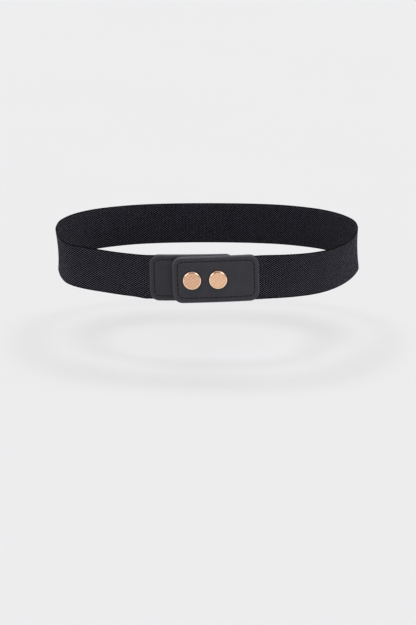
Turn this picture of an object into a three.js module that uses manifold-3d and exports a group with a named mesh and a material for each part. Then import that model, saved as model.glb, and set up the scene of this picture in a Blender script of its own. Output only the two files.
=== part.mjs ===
// A stretch waist belt: a band of woven elastic whose two ends are sewn into leather-cloth tabs.
// The over tab lies on the under tab, and a pair of snap fasteners holds the two together.
// Millimetres. +Z is up and the closure faces -Y. The origin is the middle of the waist hollow,
// halfway up the band.
import * as THREE from "three";
import { mergeVertices } from "three/addons/utils/BufferGeometryUtils.js";
import Module from "manifold-3d";

const wasm = await Module();
wasm.setup();

// Driving dimensions of the elastic band and of the two tabs.
const elastic = { width: 37.2, thickness: 1.2, roundedEdge: 0.6, inPocket: 15, stationStep: 5 };
const tab = { length: 70.4, height: 39.2, thickness: 3.2, corner: 8, sharpestCorner: 1 };

// A snap fastener: the cap and its post, the socket behind the over tab, the stud on the under
// tab, and the eyelet whose post comes through from the inside and holds the stud.
const snap = { spacing: 20.9, roundedEdge: 0.3 };
const cap = { radius: 7.3, height: 2.2, innerRadius: 6.4, dome: 0.15 };
const capEdge = {
  startSlope: THREE.MathUtils.degToRad(12), // the rim rounds over between these, down to a plain side
  endSlope: THREE.MathUtils.degToRad(40),
  steps: 3,
};
const socket = { radius: 5.9, height: 1.3, cupRadius: 3.1 };
const stud = { radius: 5.5, flange: 0.5, neckRadius: 2.6, headRadius: 2.8, headHeight: 0.95 };
const eyelet = { radius: 5, head: 0.7, reach: 1.1, dimpleRadius: 1.2, dimple: 0.1 };
const post = { radius: 1.8, hole: 2.1, intoWeb: 0.1 };
const seatGap = 0.2; // between a metal piece and the leather, or the metal, that it sits on
const pocketGap = 0.15; // round the end of the elastic in its pocket
const lathedSides = 28;

// The closure: both tabs bend gently round the waist, and each is turned a little, left end down.
const closure = {
  x: -2.4, // midway between the snaps
  y: -96.4, // mid-surface of the under tab there
  bendRadius: 440,
  overOffset: 5.6, // from the under tab's mid-surface out to the over tab's
  overTurn: THREE.MathUtils.degToRad(-1.8),
  underTurn: THREE.MathUtils.degToRad(-0.9),
  overLift: -0.15,
  underLift: 0.1,
  underCentre: -10.6, // middle of each tab's length, from midway between the snaps
  overCentre: 8.8,
  intoUnder: 0.5, // how far above each tab's middle the band runs into it
  intoOver: -0.15,
};

// Plan of the band's mid-surface, from the under tab round the back to the over tab: its place,
// how far it is lifted, and how far its upper and lower edges stand out from its middle.
const waistline = [
  { x: -60, y: -89.7, lift: 0, upperFlare: 1.6, lowerFlare: -0.9 },
  { x: -74, y: -83.3, lift: 0, upperFlare: 2, lowerFlare: -1.1 },
  { x: -87, y: -75.9, lift: 0, upperFlare: 1.9, lowerFlare: -1 },
  { x: -101, y: -67.2, lift: 0, upperFlare: 1.7, lowerFlare: -0.6 },
  { x: -113, y: -57.4, lift: 0, upperFlare: 2.6, lowerFlare: -0.8 },
  { x: -120.4, y: -46.7, lift: 0, upperFlare: 2.3, lowerFlare: -0.7 },
  { x: -124.8, y: -32.8, lift: 0, upperFlare: 1.7, lowerFlare: -0.3 },
  { x: -127.9, y: -17.4, lift: 0, upperFlare: 1.9, lowerFlare: -0.1 },
  { x: -129.4, y: 3, lift: 0, upperFlare: 2.2, lowerFlare: 0.7 },
  { x: -127, y: 28, lift: 0, upperFlare: 2, lowerFlare: 0.8 },
  { x: -115.5, y: 52, lift: 0, upperFlare: 1.8, lowerFlare: 0.9 },
  { x: -95, y: 70.5, lift: 0, upperFlare: 1.5, lowerFlare: 1.2 },
  { x: -58, y: 85, lift: 0, upperFlare: 1.2, lowerFlare: 1.4 },
  { x: 0, y: 90, lift: 0, upperFlare: 1, lowerFlare: 1.5 },
  { x: 58, y: 85, lift: 0, upperFlare: 1.2, lowerFlare: 1.4 },
  { x: 95, y: 70.5, lift: 0, upperFlare: 1, lowerFlare: 1.5 },
  { x: 115, y: 52, lift: 0, upperFlare: 0.7, lowerFlare: 1.6 },
  { x: 127, y: 28, lift: 0, upperFlare: 0.4, lowerFlare: 1.7 },
  { x: 129.4, y: 4, lift: 0, upperFlare: 0.2, lowerFlare: 1.8 },
  { x: 126, y: -17, lift: 0, upperFlare: 1, lowerFlare: 1.2 },
  { x: 120.1, y: -38.7, lift: 0, upperFlare: 1.7, lowerFlare: -0.4 },
  { x: 111, y: -57.4, lift: 0, upperFlare: 2.6, lowerFlare: -0.8 },
  { x: 99, y: -74, lift: 0.1, upperFlare: 2.8, lowerFlare: -1.2 },
  { x: 86, y: -84.8, lift: 0.4, upperFlare: 2.6, lowerFlare: -0.8 },
  { x: 73, y: -92, lift: 0.9, upperFlare: 2.5, lowerFlare: -0.4 },
  { x: 60, y: -97.3, lift: 1.4, upperFlare: 1.6, lowerFlare: -0.1 },
];

// A tab's faces, from the middle of its front to the middle of its back: how far in from the
// outline each ring lies, and how far out from the mid-surface. The front has a padded panel, the
// groove that the seam is sewn in, and a rolled rim.
const tabRings = [
  { inset: 6.4, out: 1.6 },
  { inset: 5.2, out: 1.5 },
  { inset: 4.4, out: 1.3 },
  { inset: 3.3, out: 1.5 },
  { inset: 0.8, out: 1.45 },
  { inset: 0.15, out: 1.0 },
  { inset: 0, out: 0 },
  { inset: 0.15, out: -1.1 },
  { inset: 0.7, out: -1.5 },
  { inset: 4.2, out: -1.6 },
];
const tabSteps = { corner: 5, longSide: 8, shortSide: 2 };

// Closes a stack of equal rings into one solid. Point k of a ring lies opposite point n - 1 - k,
// so each end is closed by a row of strips.
function loft(rings) {
  const count = rings[0].length;
  const positions = rings.flat().flatMap((p) => [p.x, p.y, p.z]);
  const faces = [];
  const quad = (a, b, c, d) => faces.push(a, b, c, a, c, d);
  for (let r = 0; r + 1 < rings.length; r++)
    for (let k = 0; k < count; k++) {
      const next = (k + 1) % count;
      quad(r * count + k, r * count + next, (r + 1) * count + next, (r + 1) * count + k);
    }
  const last = (rings.length - 1) * count;
  for (let k = 0; k + 1 < count / 2; k++) {
    const far = count - 1 - k;
    quad(k, far, far - 1, k + 1);
    quad(last + k, last + k + 1, last + far - 1, last + far);
  }
  const geometry = new THREE.BufferGeometry();
  geometry.setAttribute("position", new THREE.Float32BufferAttribute(positions, 3));
  geometry.setIndex(faces);
  return geometry;
}

// A closed geometry as a solid for cutting, and a solid as a geometry.
function solidOf(geometry) {
  const bare = geometry.clone();
  bare.deleteAttribute("normal");
  bare.deleteAttribute("uv");
  const weldedWithin = 1e-4;
  const merged = mergeVertices(bare, weldedWithin);
  return new wasm.Manifold(
    new wasm.Mesh({
      numProp: 3,
      vertProperties: new Float32Array(merged.attributes.position.array),
      triVerts: new Uint32Array(merged.index.array),
    }),
  );
}

function geometryOf(solid) {
  const mesh = solid.getMesh();
  const geometry = new THREE.BufferGeometry();
  geometry.setAttribute("position", new THREE.BufferAttribute(mesh.vertProperties, 3));
  geometry.setIndex(new THREE.BufferAttribute(mesh.triVerts, 1));
  return geometry;
}

function cut(geometry, cutters) {
  return geometryOf(cutters.reduce((solid, cutter) => solid.subtract(solidOf(cutter)), solidOf(geometry)));
}

// A point of the closure, from midway between the snaps: along the tabs, up, and out from the
// under tab's mid-surface.
function onClosure(along, up, out) {
  const angle = along / closure.bendRadius;
  const radius = closure.bendRadius + out;
  return new THREE.Vector3(
    radius * Math.sin(angle),
    closure.bendRadius - radius * Math.cos(angle),
    up,
  );
}

// The groups that place the closure in the belt, and in it the under tab and the over tab with its
// snaps.
const closureGroup = new THREE.Group();
closureGroup.position.set(closure.x, closure.y, 0);
const underGroup = new THREE.Group();
underGroup.position.z = closure.underLift;
underGroup.rotation.y = closure.underTurn;
const fastenedGroup = new THREE.Group();
fastenedGroup.position.z = closure.overLift;
fastenedGroup.rotation.y = closure.overTurn;
closureGroup.add(underGroup, fastenedGroup);
closureGroup.updateMatrixWorld(true);

// The rows of the waistline with those that run straight on into the two pockets.
function wholeWaistline() {
  const intoPocket = (place, up, out, group) => {
    const point = onClosure(place, up, out).applyMatrix4(group.matrixWorld);
    return { x: point.x, y: point.y, lift: point.z, upperFlare: 0, lowerFlare: 0 };
  };
  const pastEdge = 3;
  const underEdge = closure.underCentre - tab.length / 2;
  const overEdge = closure.overCentre + tab.length / 2;
  const reaches = [elastic.inPocket, elastic.inPocket / 2, 0, -pastEdge];
  const underRows = reaches.map((reach) => intoPocket(underEdge + reach, closure.intoUnder, 0, underGroup));
  const overRows = reaches.map((reach) =>
    intoPocket(overEdge - reach, closure.intoOver, closure.overOffset, fastenedGroup),
  );
  return [...underRows, ...waistline, ...overRows.reverse()];
}

// Sections along a smooth curve through the rows, a cubic between each two rows whose slope at a
// row is that of the line between its neighbours. Every column is carried along in the same way.
function sectionsThrough(rows, step) {
  const columns = Object.keys(rows[0]);
  const at = [0];
  for (let i = 1; i < rows.length; i++)
    at.push(at[i - 1] + Math.hypot(rows[i].x - rows[i - 1].x, rows[i].y - rows[i - 1].y));
  const slope = (i, column) => {
    const before = Math.max(i - 1, 0);
    const after = Math.min(i + 1, rows.length - 1);
    return (rows[after][column] - rows[before][column]) / (at[after] - at[before]);
  };
  const between = (i, column, t) => {
    const rise = 3 * t ** 2 - 2 * t ** 3;
    const bend = slope(i, column) * (t ** 3 - 2 * t ** 2 + t) + slope(i + 1, column) * (t ** 3 - t ** 2);
    return rows[i][column] * (1 - rise) + rows[i + 1][column] * rise + bend * (at[i + 1] - at[i]);
  };
  const sections = [{ ...rows[0] }];
  for (let i = 0; i + 1 < rows.length; i++) {
    const parts = Math.ceil((at[i + 1] - at[i]) / step);
    for (let part = 1; part <= parts; part++)
      sections.push(Object.fromEntries(columns.map((column) => [column, between(i, column, part / parts)])));
  }
  return sections;
}

// Sweeps the section of the band, grown by a margin, along some of its stations. The section's
// heights are shares of half its width, and its upper and lower edges are narrowed. The flares lean
// and bow it, as a parabola through its two edges and its middle.
function sweepBand(stations, margin) {
  const half = elastic.width / 2 + margin;
  const thick = elastic.thickness / 2 + margin;
  const roundedTo = 1 - elastic.roundedEdge / half;
  const edgeShare = 0.5;
  const heights = [-1, -roundedTo, -0.55, 0, 0.55, roundedTo, 1];
  const places = stations.map((s) => new THREE.Vector3(s.x, s.y, s.lift));
  const rings = stations.map((s, i) => {
    const ahead = places[Math.min(i + 1, places.length - 1)].clone();
    const along = ahead.sub(places[Math.max(i - 1, 0)]).normalize();
    const up = new THREE.Vector3(0, 0, 1).addScaledVector(along, -along.z).normalize();
    const out = new THREE.Vector3().crossVectors(up, along).normalize();
    const lean = (s.upperFlare - s.lowerFlare) / 2;
    const bow = (s.upperFlare + s.lowerFlare) / 2;
    const point = (height, side) => {
      const flare = lean * height + bow * height ** 2;
      const share = Math.abs(height) === 1 ? edgeShare : 1;
      return places[i]
        .clone()
        .addScaledVector(up, height * half)
        .addScaledVector(out, flare + side * thick * share);
    };
    return [...heights.map((h) => point(h, 1)), ...heights.toReversed().map((h) => point(h, -1))];
  });
  return loft(rings);
}

// The outline of a tab as a rounded rectangle, moved in by an inset. The upper half runs from
// left to right and the lower half back, so that opposite points pair up.
function tabOutline(inset) {
  const halfLength = tab.length / 2 - inset;
  const halfHeight = tab.height / 2 - inset;
  const corner = Math.max(tab.corner - inset, tab.sharpestCorner);
  const leftPart = [];
  for (let i = 0.5; i < tabSteps.shortSide; i++)
    leftPart.push({ along: -halfLength, up: ((halfHeight - corner) * i) / tabSteps.shortSide });
  for (let i = 0; i <= tabSteps.corner; i++) {
    const angle = ((Math.PI / 2) * i) / tabSteps.corner;
    leftPart.push({
      along: corner - halfLength - corner * Math.cos(angle),
      up: halfHeight - corner + corner * Math.sin(angle),
    });
  }
  const middle = [];
  for (let i = 1; i < tabSteps.longSide; i++)
    middle.push({ along: (halfLength - corner) * ((2 * i) / tabSteps.longSide - 1), up: halfHeight });
  const rightPart = leftPart.toReversed().map((p) => ({ along: -p.along, up: p.up }));
  const upperHalf = [...leftPart, ...middle, ...rightPart];
  return [...upperHalf, ...upperHalf.toReversed().map((p) => ({ along: p.along, up: -p.up }))];
}

function tabBlank(centre, offset) {
  return loft(
    tabRings.map((ring) =>
      tabOutline(ring.inset).map((p) => onClosure(centre + p.along, p.up, offset + ring.out)),
    ),
  );
}

// A snap's axis stands square to the tabs at its place along them, and its +Y points out.
function snapGroup(place) {
  const group = new THREE.Group();
  group.position.copy(onClosure(place, 0, 0));
  group.rotation.z = Math.PI + place / closure.bendRadius;
  return group;
}

// The hole that a post needs through a tab, in the frame that the tab is made in.
function postHole(group, matrix) {
  const throughAll = 30;
  group.updateMatrix();
  return new THREE.CylinderGeometry(post.hole, post.hole, throughAll, lathedSides)
    .applyMatrix4(group.matrix)
    .applyMatrix4(matrix);
}

const lathe = (profile) =>
  new THREE.LatheGeometry(profile.map(([radius, out]) => new THREE.Vector2(radius, out)), lathedSides);

// The faces that the pieces of a snap sit on or reach to, out from the under tab's mid-surface.
const halfTab = tab.thickness / 2;
const level = {};
level.underBack = -halfTab - seatGap;
level.studSeat = halfTab + seatGap;
level.studFace = level.studSeat + stud.flange;
level.studHead = level.studFace + stud.headHeight;
level.socketFace = level.studFace + seatGap;
level.socketWeb = level.studHead + seatGap;
level.socketBack = level.socketFace + socket.height;
level.capSeat = closure.overOffset + halfTab + seatGap;
level.capFace = level.capSeat + cap.height;
level.eyeletEnd = halfTab + eyelet.reach;

const round = snap.roundedEdge;

function eyeletShape() {
  const headFace = level.underBack - eyelet.head;
  return lathe([
    [0, headFace + eyelet.dimple],
    [eyelet.dimpleRadius, headFace],
    [eyelet.radius - round, headFace],
    [eyelet.radius, headFace + round],
    [eyelet.radius, level.underBack],
    [post.radius, level.underBack],
    [post.radius, level.eyeletEnd],
    [0, level.eyeletEnd],
  ]);
}

// The stud is bored from below for the eyelet's post.
function studShape() {
  return lathe([
    [0, level.eyeletEnd + seatGap],
    [post.hole, level.eyeletEnd + seatGap],
    [post.hole, level.studSeat],
    [stud.radius, level.studSeat],
    [stud.radius, level.studFace - round],
    [stud.radius - round, level.studFace],
    [stud.neckRadius, level.studFace],
    [stud.headRadius, level.studHead - round],
    [stud.headRadius - round, level.studHead],
    [0, level.studHead],
  ]);
}

// The socket is a cup for the stud's head, with a hole in its web for the cap's post.
function socketShape() {
  const face = [socket.cupRadius, level.socketFace];
  return lathe([
    face,
    [socket.radius - round, level.socketFace],
    [socket.radius, level.socketFace + round],
    [socket.radius, level.socketBack],
    [post.hole, level.socketBack],
    [post.hole, level.socketWeb],
    [socket.cupRadius, level.socketWeb],
    face,
  ]);
}

// The cap is a slightly domed face inside a rounded rim, on a solid post.
function capShape() {
  const postEnd = level.socketWeb + post.intoWeb;
  const { startSlope, endSlope, steps } = capEdge;
  const bend = (cap.radius - cap.innerRadius) / (Math.sin(endSlope) - Math.sin(startSlope));
  const faceEdge = level.capFace - cap.dome;
  const roundedRim = Array.from({ length: steps + 1 }, (_, i) => {
    const slope = endSlope + ((startSlope - endSlope) * i) / steps;
    return [
      cap.innerRadius + bend * (Math.sin(slope) - Math.sin(startSlope)),
      faceEdge - bend * (Math.cos(startSlope) - Math.cos(slope)),
    ];
  });
  return lathe([
    [0, postEnd],
    [post.radius, postEnd],
    [post.radius, level.capSeat],
    [cap.radius - round, level.capSeat],
    [cap.radius, level.capSeat + round],
    ...roundedRim,
    [0, level.capFace],
  ]);
}

const finishes = {
  elastic: new THREE.MeshStandardMaterial({ color: 0x26252a, roughness: 0.9, metalness: 0 }),
  leather: new THREE.MeshStandardMaterial({ color: 0x39383d, roughness: 0.55, metalness: 0 }),
  metal: new THREE.MeshStandardMaterial({ color: 0xdfae8a, roughness: 0.28, metalness: 1 }),
};

function named(name, geometry, material) {
  const mesh = new THREE.Mesh(geometry, material.clone());
  mesh.name = name;
  return mesh;
}

// The band, and the parts of its run that the pockets are cut round.
const stations = sectionsThrough(wholeWaistline(), elastic.stationStep);
const stationsPastPocket = 3;
const pocketStations = Math.round(elastic.inPocket / elastic.stationStep) + stationsPastPocket;
const inverseOf = (group) => group.matrixWorld.clone().invert();
const pocketAt = (run, group) => sweepBand(run, pocketGap).applyMatrix4(inverseOf(group));
const beyondEnd = (end, next) => {
  const reach = pocketGap / Math.hypot(next.x - end.x, next.y - end.y);
  const moved = (column) => end[column] - (next[column] - end[column]) * reach;
  return { ...end, x: moved("x"), y: moved("y"), lift: moved("lift") };
};
const underRun = stations.slice(0, pocketStations);
const overRun = stations.slice(-pocketStations);
underRun.unshift(beyondEnd(underRun[0], underRun[1]));
overRun.push(beyondEnd(overRun.at(-1), overRun.at(-2)));

// The snaps sit in the over tab's group, so their holes are carried over to the under tab's.
const snaps = [-snap.spacing / 2, snap.spacing / 2].map(snapGroup);
const asIs = new THREE.Matrix4();
const toUnder = inverseOf(underGroup).multiply(fastenedGroup.matrixWorld);
const overTab = cut(tabBlank(closure.overCentre, closure.overOffset), [
  pocketAt(overRun, fastenedGroup),
  ...snaps.map((group) => postHole(group, asIs)),
]);
const underTab = cut(tabBlank(closure.underCentre, 0), [
  pocketAt(underRun, underGroup),
  ...snaps.map((group) => postHole(group, toUnder)),
]);

const belt = new THREE.Group();
belt.add(named("elastic_band", sweepBand(stations, 0), finishes.elastic));
belt.add(closureGroup);
underGroup.add(named("under_tab", underTab, finishes.leather));
fastenedGroup.add(named("over_tab", overTab, finishes.leather));
snaps.forEach((group, i) => {
  const side = ["left", "right"][i];
  fastenedGroup.add(group);
  group.add(named("snap_cap_" + side, capShape(), finishes.metal));
  group.add(named("snap_socket_" + side, socketShape(), finishes.metal));
  group.add(named("snap_stud_" + side, studShape(), finishes.metal));
  group.add(named("snap_eyelet_" + side, eyeletShape(), finishes.metal));
});

export default belt;
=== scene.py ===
import math
import bmesh
import bpy
import numpy as np
from mathutils import Matrix, Vector, noise


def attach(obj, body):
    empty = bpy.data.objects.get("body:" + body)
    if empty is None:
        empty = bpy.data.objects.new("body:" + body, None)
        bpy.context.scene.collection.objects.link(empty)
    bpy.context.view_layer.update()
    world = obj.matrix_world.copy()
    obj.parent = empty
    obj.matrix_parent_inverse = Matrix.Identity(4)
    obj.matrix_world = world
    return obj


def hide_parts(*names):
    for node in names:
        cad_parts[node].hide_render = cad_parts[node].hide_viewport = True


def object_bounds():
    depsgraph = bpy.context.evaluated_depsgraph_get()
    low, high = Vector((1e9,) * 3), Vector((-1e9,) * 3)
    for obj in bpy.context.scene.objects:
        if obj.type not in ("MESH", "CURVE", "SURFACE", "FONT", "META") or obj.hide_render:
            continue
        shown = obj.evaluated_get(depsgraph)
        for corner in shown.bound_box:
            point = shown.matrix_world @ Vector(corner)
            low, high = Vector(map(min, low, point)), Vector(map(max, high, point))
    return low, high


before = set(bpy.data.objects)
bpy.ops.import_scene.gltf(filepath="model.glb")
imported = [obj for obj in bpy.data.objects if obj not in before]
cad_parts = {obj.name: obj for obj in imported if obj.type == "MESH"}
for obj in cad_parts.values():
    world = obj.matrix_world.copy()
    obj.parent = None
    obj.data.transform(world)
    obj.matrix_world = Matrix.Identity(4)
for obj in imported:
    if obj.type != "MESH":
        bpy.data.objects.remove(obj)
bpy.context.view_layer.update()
print("frame loaded with", len(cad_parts), "nodes")

# All sizes below are millimetres. makePiece turns them into the frame's metres.
perMetre = 1000.0


# Meshes

def makePiece(name, points, faces, materials, slotName):
    mesh = bpy.data.meshes.new(name)
    mesh.from_pydata([tuple(c / perMetre for c in p) for p in points], [], faces)
    mesh.validate()
    for material in materials:
        mesh.materials.append(material)
    piece = bpy.data.objects.new(name, mesh)
    bpy.context.collection.objects.link(piece)
    if slotName:
        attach(piece, "root")
    return piece


def smoothUpTo(piece, degrees):
    piece.data.shade_smooth()
    piece.data.set_sharp_from_angle(angle=math.radians(degrees))


# Faces that join a stack of equal closed rings.
def ringFaces(ringCount, pointCount):
    faces = []
    for r in range(ringCount - 1):
        for k in range(pointCount):
            after = (k + 1) % pointCount
            low, high = r * pointCount, (r + 1) * pointCount
            faces.append((low + k, low + after, high + after, high + k))
    return faces


# Strips that close the first and last ring, where point k lies opposite point n - 1 - k.
def endStrips(ringCount, pointCount):
    faces = []
    last = (ringCount - 1) * pointCount
    for k in range(pointCount // 2 - 1):
        far = pointCount - 1 - k
        faces.append((k, far, far - 1, k + 1))
        faces.append((last + k, last + k + 1, last + far - 1, last + far))
    return faces


# Flat faces that close the first and last ring.
def endFaces(ringCount, pointCount):
    last = (ringCount - 1) * pointCount
    return [tuple(range(pointCount))[::-1], tuple(range(last, last + pointCount))]


# A smooth curve through the rows of a table. The slope at a row is that of the line between its
# neighbours, and every column is carried along in the same way.
def rowsBetween(table, step):
    rows = np.array(table, dtype=float)
    spans = np.hypot(*np.diff(rows[:, :2], axis=0).T)
    at = np.concatenate([[0], np.cumsum(spans)])
    before = np.maximum(np.arange(len(rows)) - 1, 0)
    after = np.minimum(np.arange(len(rows)) + 1, len(rows) - 1)
    slopes = (rows[after] - rows[before]) / (at[after] - at[before])[:, None]
    made = [rows[0]]
    for i, span in enumerate(spans):
        parts = math.ceil(span / step)
        for part in range(1, parts + 1):
            t = part / parts
            rise = 3 * t ** 2 - 2 * t ** 3
            bend = slopes[i] * (t ** 3 - 2 * t ** 2 + t) + slopes[i + 1] * (t ** 3 - t ** 2)
            made.append(rows[i] * (1 - rise) + rows[i + 1] * rise + bend * span)
    return np.array(made)


def pointOutward(mesh, mergeWithin=0.0):
    shape = bmesh.new()
    shape.from_mesh(mesh)
    if mergeWithin:
        bmesh.ops.remove_doubles(shape, verts=shape.verts, dist=mergeWithin)
        bmesh.ops.dissolve_degenerate(shape, edges=shape.edges, dist=mergeWithin)
    bmesh.ops.recalc_face_normals(shape, faces=shape.faces)
    shape.to_mesh(mesh)
    shape.free()


def addUvs(mesh, layerName, places):  # one place for each vertex
    layer = mesh.uv_layers.new(name=layerName)
    corners = np.empty(len(mesh.loops), dtype=np.int32)
    mesh.loops.foreach_get("vertex_index", corners)
    layer.data.foreach_set("uv", np.array(places, dtype=np.float32)[corners].ravel())


def cutAway(piece, cutters):
    for cutter in cutters:
        modifier = piece.modifiers.new("cut", "BOOLEAN")
        modifier.operation = "DIFFERENCE"
        modifier.solver = "EXACT"
        modifier.object = cutter
    depsgraph = bpy.context.evaluated_depsgraph_get()
    evaluated = piece.evaluated_get(depsgraph)
    mesh = bpy.data.meshes.new_from_object(evaluated, preserve_all_data_layers=True, depsgraph=depsgraph)
    piece.modifiers.clear()
    piece.data = mesh
    mesh.name = piece.name
    for cutter in cutters:
        bpy.data.objects.remove(cutter)


# Shader helpers

def addNode(tree, kind, values=None, **settings):
    node = tree.nodes.new(kind)
    for name, value in settings.items():
        setattr(node, name, value)
    for socket, value in (values or {}).items():
        if isinstance(value, bpy.types.NodeSocket):
            tree.links.new(value, node.inputs[socket])
        else:
            node.inputs[socket].default_value = value
    return node


def calculate(tree, operation, *values):
    return addNode(tree, "ShaderNodeMath", dict(enumerate(values)), operation=operation).outputs[0]


def multiply(tree, first, second):
    return calculate(tree, "MULTIPLY", first, second)


def remap(tree, value, fromLow, fromHigh, toLow=0.0, toHigh=1.0):
    values = dict(enumerate((value, fromLow, fromHigh, toLow, toHigh)))
    return addNode(tree, "ShaderNodeMapRange", values, interpolation_type="SMOOTHSTEP").outputs[0]


def splitUp(tree, vector):
    return addNode(tree, "ShaderNodeSeparateXYZ", {0: vector}).outputs


def objectPlace(tree):
    return addNode(tree, "ShaderNodeTexCoord").outputs["Object"]


def uvPlace(tree, layerName):
    return addNode(tree, "ShaderNodeUVMap", uv_map=layerName).outputs[0]


def mixColour(tree, factor, first, second):  # a Mix node's colours are its sockets 6, 7 and 2
    values = {0: factor, 6: first, 7: second}
    return addNode(tree, "ShaderNodeMix", values, data_type="RGBA").outputs[2]


mostNoise = (0.3, 0.7)  # where most values of a noise lie


def noiseAt(tree, place, scale, detail=2.0, roughness=0.5):
    values = {"Vector": place, "Scale": scale, "Detail": detail, "Roughness": roughness}
    return addNode(tree, "ShaderNodeTexNoise", values).outputs


def bumpOf(tree, height, depth, strength):  # depth in millimetres
    values = {"Height": height, "Distance": depth / perMetre, "Strength": strength}
    return addNode(tree, "ShaderNodeBump", values).outputs[0]


# A shader group that is given a place and some numbers, and makes numbers.
def newGroup(name, numbers, outputs):
    tree = bpy.data.node_groups.new(name, "ShaderNodeTree")
    tree.interface.new_socket("Place", in_out="INPUT", socket_type="NodeSocketVector")
    for socketName, value in numbers.items():
        socket = tree.interface.new_socket(socketName, in_out="INPUT", socket_type="NodeSocketFloat")
        socket.default_value = value
    for socketName in outputs:
        tree.interface.new_socket(socketName, in_out="OUTPUT", socket_type="NodeSocketFloat")
    return tree, tree.nodes.new("NodeGroupInput").outputs, tree.nodes.new("NodeGroupOutput").inputs


def placeGroup(tree, group, values):
    return addNode(tree, "ShaderNodeGroup", values, node_tree=group).outputs


def newMaterial(name, shaderValues):
    material = bpy.data.materials.new(name)
    material.use_nodes = True
    tree = material.node_tree
    shader = tree.nodes["Principled BSDF"]
    for socket, value in shaderValues.items():
        shader.inputs[socket].default_value = value
    return material, tree


def shadeWith(material, colour, roughness, normal):
    tree = material.node_tree
    for socket, value in (("Base Color", colour), ("Roughness", roughness), ("Normal", normal)):
        tree.links.new(value, tree.nodes["Principled BSDF"].inputs[socket])
    return material


def grey(value, blue=1.0, green=0.985):
    return (value, value * green, value * blue, 1.0)


# Slow, uneven change over a surface, for colour and gloss.
def makeMottle():
    tree, given, made = newGroup("mottle", {"Size mm": 8.0, "Low": 0.0, "High": 1.0}, ["Value"])
    perPatch = calculate(tree, "DIVIDE", perMetre, given["Size mm"])
    patches = noiseAt(tree, given["Place"], perPatch, detail=3.0, roughness=0.55)["Fac"]
    tree.links.new(remap(tree, patches, *mostNoise, given["Low"], given["High"]), made["Value"])
    return tree


# Fine scratches that all run one way, or the fibres of a thread.
def makeScratches():
    tree, given, made = newGroup("scratches", {"Width mm": 0.1, "Length mm": 6.0}, ["Height"])
    across = calculate(tree, "DIVIDE", perMetre, given["Width mm"])
    along = calculate(tree, "DIVIDE", perMetre, given["Length mm"])
    stretch = addNode(tree, "ShaderNodeCombineXYZ", {"X": along, "Y": across, "Z": across}).outputs[0]
    values = {0: given["Place"], 1: stretch}
    place = addNode(tree, "ShaderNodeVectorMath", values, operation="MULTIPLY").outputs[0]
    tree.links.new(noiseAt(tree, place, 1.0, roughness=0.6)["Fac"], made["Height"])
    return tree


pebbleShape = {"wander": 0.5, "slope": 0.28, "valley": 0.12}  # millimetres, then shares of a cell


# The pebble of coated leather cloth: small rounded cells with shallow valleys.
def makePebble():
    tree, given, made = newGroup("pebble", {"Cell mm": 0.7}, ["Height", "Valley"])
    perCell = calculate(tree, "DIVIDE", perMetre, given["Cell mm"])
    wander = noiseAt(tree, given["Place"], perCell)["Color"]
    share = pebbleShape["wander"] / perMetre
    values = {0: wander, 1: (share, share, share), 2: given["Place"]}
    place = addNode(tree, "ShaderNodeVectorMath", values, operation="MULTIPLY_ADD").outputs[0]
    values = {"Vector": place, "Scale": perCell}
    edge = addNode(tree, "ShaderNodeTexVoronoi", values, feature="DISTANCE_TO_EDGE").outputs["Distance"]
    tree.links.new(remap(tree, edge, 0.0, pebbleShape["slope"]), made["Height"])
    tree.links.new(remap(tree, edge, 0.0, pebbleShape["valley"], 1.0, 0.0), made["Valley"])
    return tree


mottle = makeMottle()
scratches = makeScratches()
pebble = makePebble()


def patchesAt(tree, place, size, low=0.0, high=1.0):
    values = {"Place": place, "Size mm": size, "Low": low, "High": high}
    return placeGroup(tree, mottle, values)["Value"]


def fibresAt(tree, place, width, length):
    values = {"Place": place, "Width mm": width, "Length mm": length}
    return placeGroup(tree, scratches, values)["Height"]


brush = {
    "drift": 0.4,  # how fine the strokes' wandering is, against the strokes
    "strokeLength": 6.0,
    "strokeNoise": (0.36, 0.6),  # the range of noise that fades a stroke, down to weakest
    "weakest": 0.65,
    "fineWidth": 0.06,  # against a stroke's step
    "fineLength": 9.0,
}


# Metal brushed one way: strokes a regular step apart that wander a little, and the finest lines.
def makeBrushing():
    numbers = {"Turn": 0.0, "Step mm": 1.7, "Wander": 0.7}
    tree, given, made = newGroup("brushing", numbers, ["Strokes", "Fine"])
    values = {"Vector": given["Place"], "Angle": given["Turn"]}
    turned = addNode(tree, "ShaderNodeVectorRotate", values, rotation_type="Z_AXIS").outputs[0]
    perStep = calculate(tree, "DIVIDE", perMetre, given["Step mm"])
    drift = noiseAt(tree, given["Place"], multiply(tree, perStep, brush["drift"]))["Fac"]
    across = multiply(tree, splitUp(tree, turned)["Y"], perStep)
    across = calculate(tree, "ADD", across, multiply(tree, drift, given["Wander"]))
    wave = calculate(tree, "COSINE", multiply(tree, across, 2 * math.pi))
    strength = fibresAt(tree, turned, given["Step mm"], brush["strokeLength"])
    strength = remap(tree, strength, *brush["strokeNoise"], brush["weakest"], 1.0)
    wave = multiply(tree, wave, strength)
    tree.links.new(calculate(tree, "MULTIPLY_ADD", wave, 0.5, 0.5), made["Strokes"])
    fineWidth = multiply(tree, given["Step mm"], brush["fineWidth"])
    tree.links.new(fibresAt(tree, turned, fineWidth, brush["fineLength"]), made["Fine"])
    return tree


brushing = makeBrushing()
print("shared shader groups made")


# The closure: both tabs bend gently round the waist, and each is turned a little, left end down.
closure = {
    "x": -2.4,  # midway between the snaps
    "y": -96.4,
    "bendRadius": 440.0,
    "underOffset": 0.0,
    "overOffset": 5.6,  # from the under tab's mid-surface out to the over tab's
    "overTurn": -1.8,  # degrees
    "underTurn": -0.9,
    "overLift": -0.15,
    "underLift": 0.1,
    "underCentre": -10.6,
    "overCentre": 8.8,
    "underInto": 0.5,  # how far above each tab's middle the band runs into it
    "overInto": -0.15,
    "snapSpacing": 20.9,
}
snapPlaces = (-closure["snapSpacing"] / 2, closure["snapSpacing"] / 2)


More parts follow.
